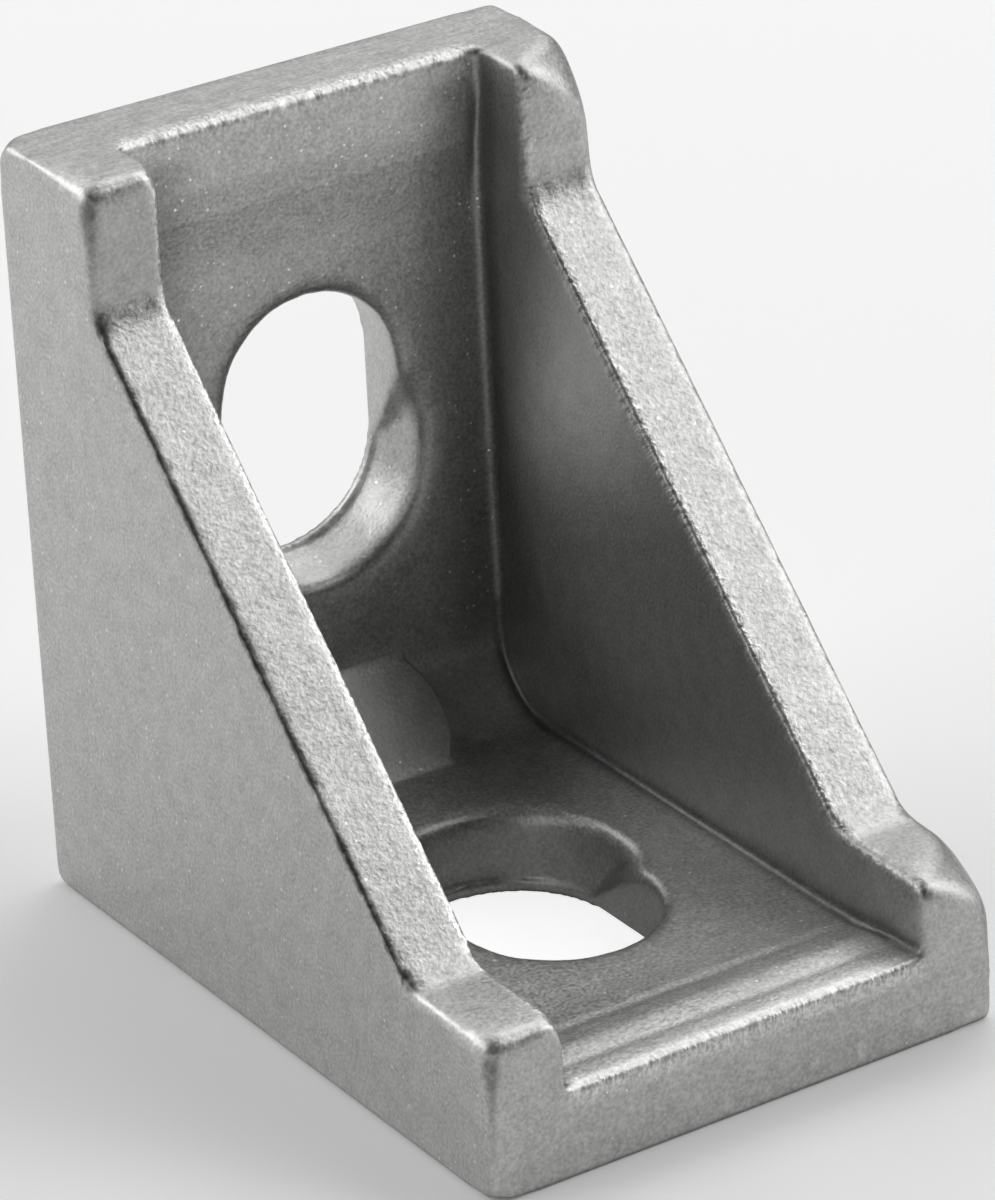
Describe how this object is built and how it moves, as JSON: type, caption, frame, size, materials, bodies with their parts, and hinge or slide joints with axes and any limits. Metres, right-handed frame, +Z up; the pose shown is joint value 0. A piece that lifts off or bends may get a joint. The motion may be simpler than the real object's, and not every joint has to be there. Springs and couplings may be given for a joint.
{
  "type": "corner bracket",
  "caption": "Die-cast corner bracket for slotted profile: equal legs at a right angle, a triangular gusset along each side and a long bolt slot through each leg",
  "frame": {"origin": "middle of the outer heel edge, where the planes of the two mounting faces cross", "axes": "X along the heel edge, across the width; -Y along the base leg; +Z up along the upright leg"},
  "size_m": [0.02, 0.028, 0.028],
  "materials": {
    "cast_aluminium": "matte, shot-blasted as cast"
  },
  "bodies": {
    "root": {"bracket": "cast_aluminium"}
  },
  "joints": []
}
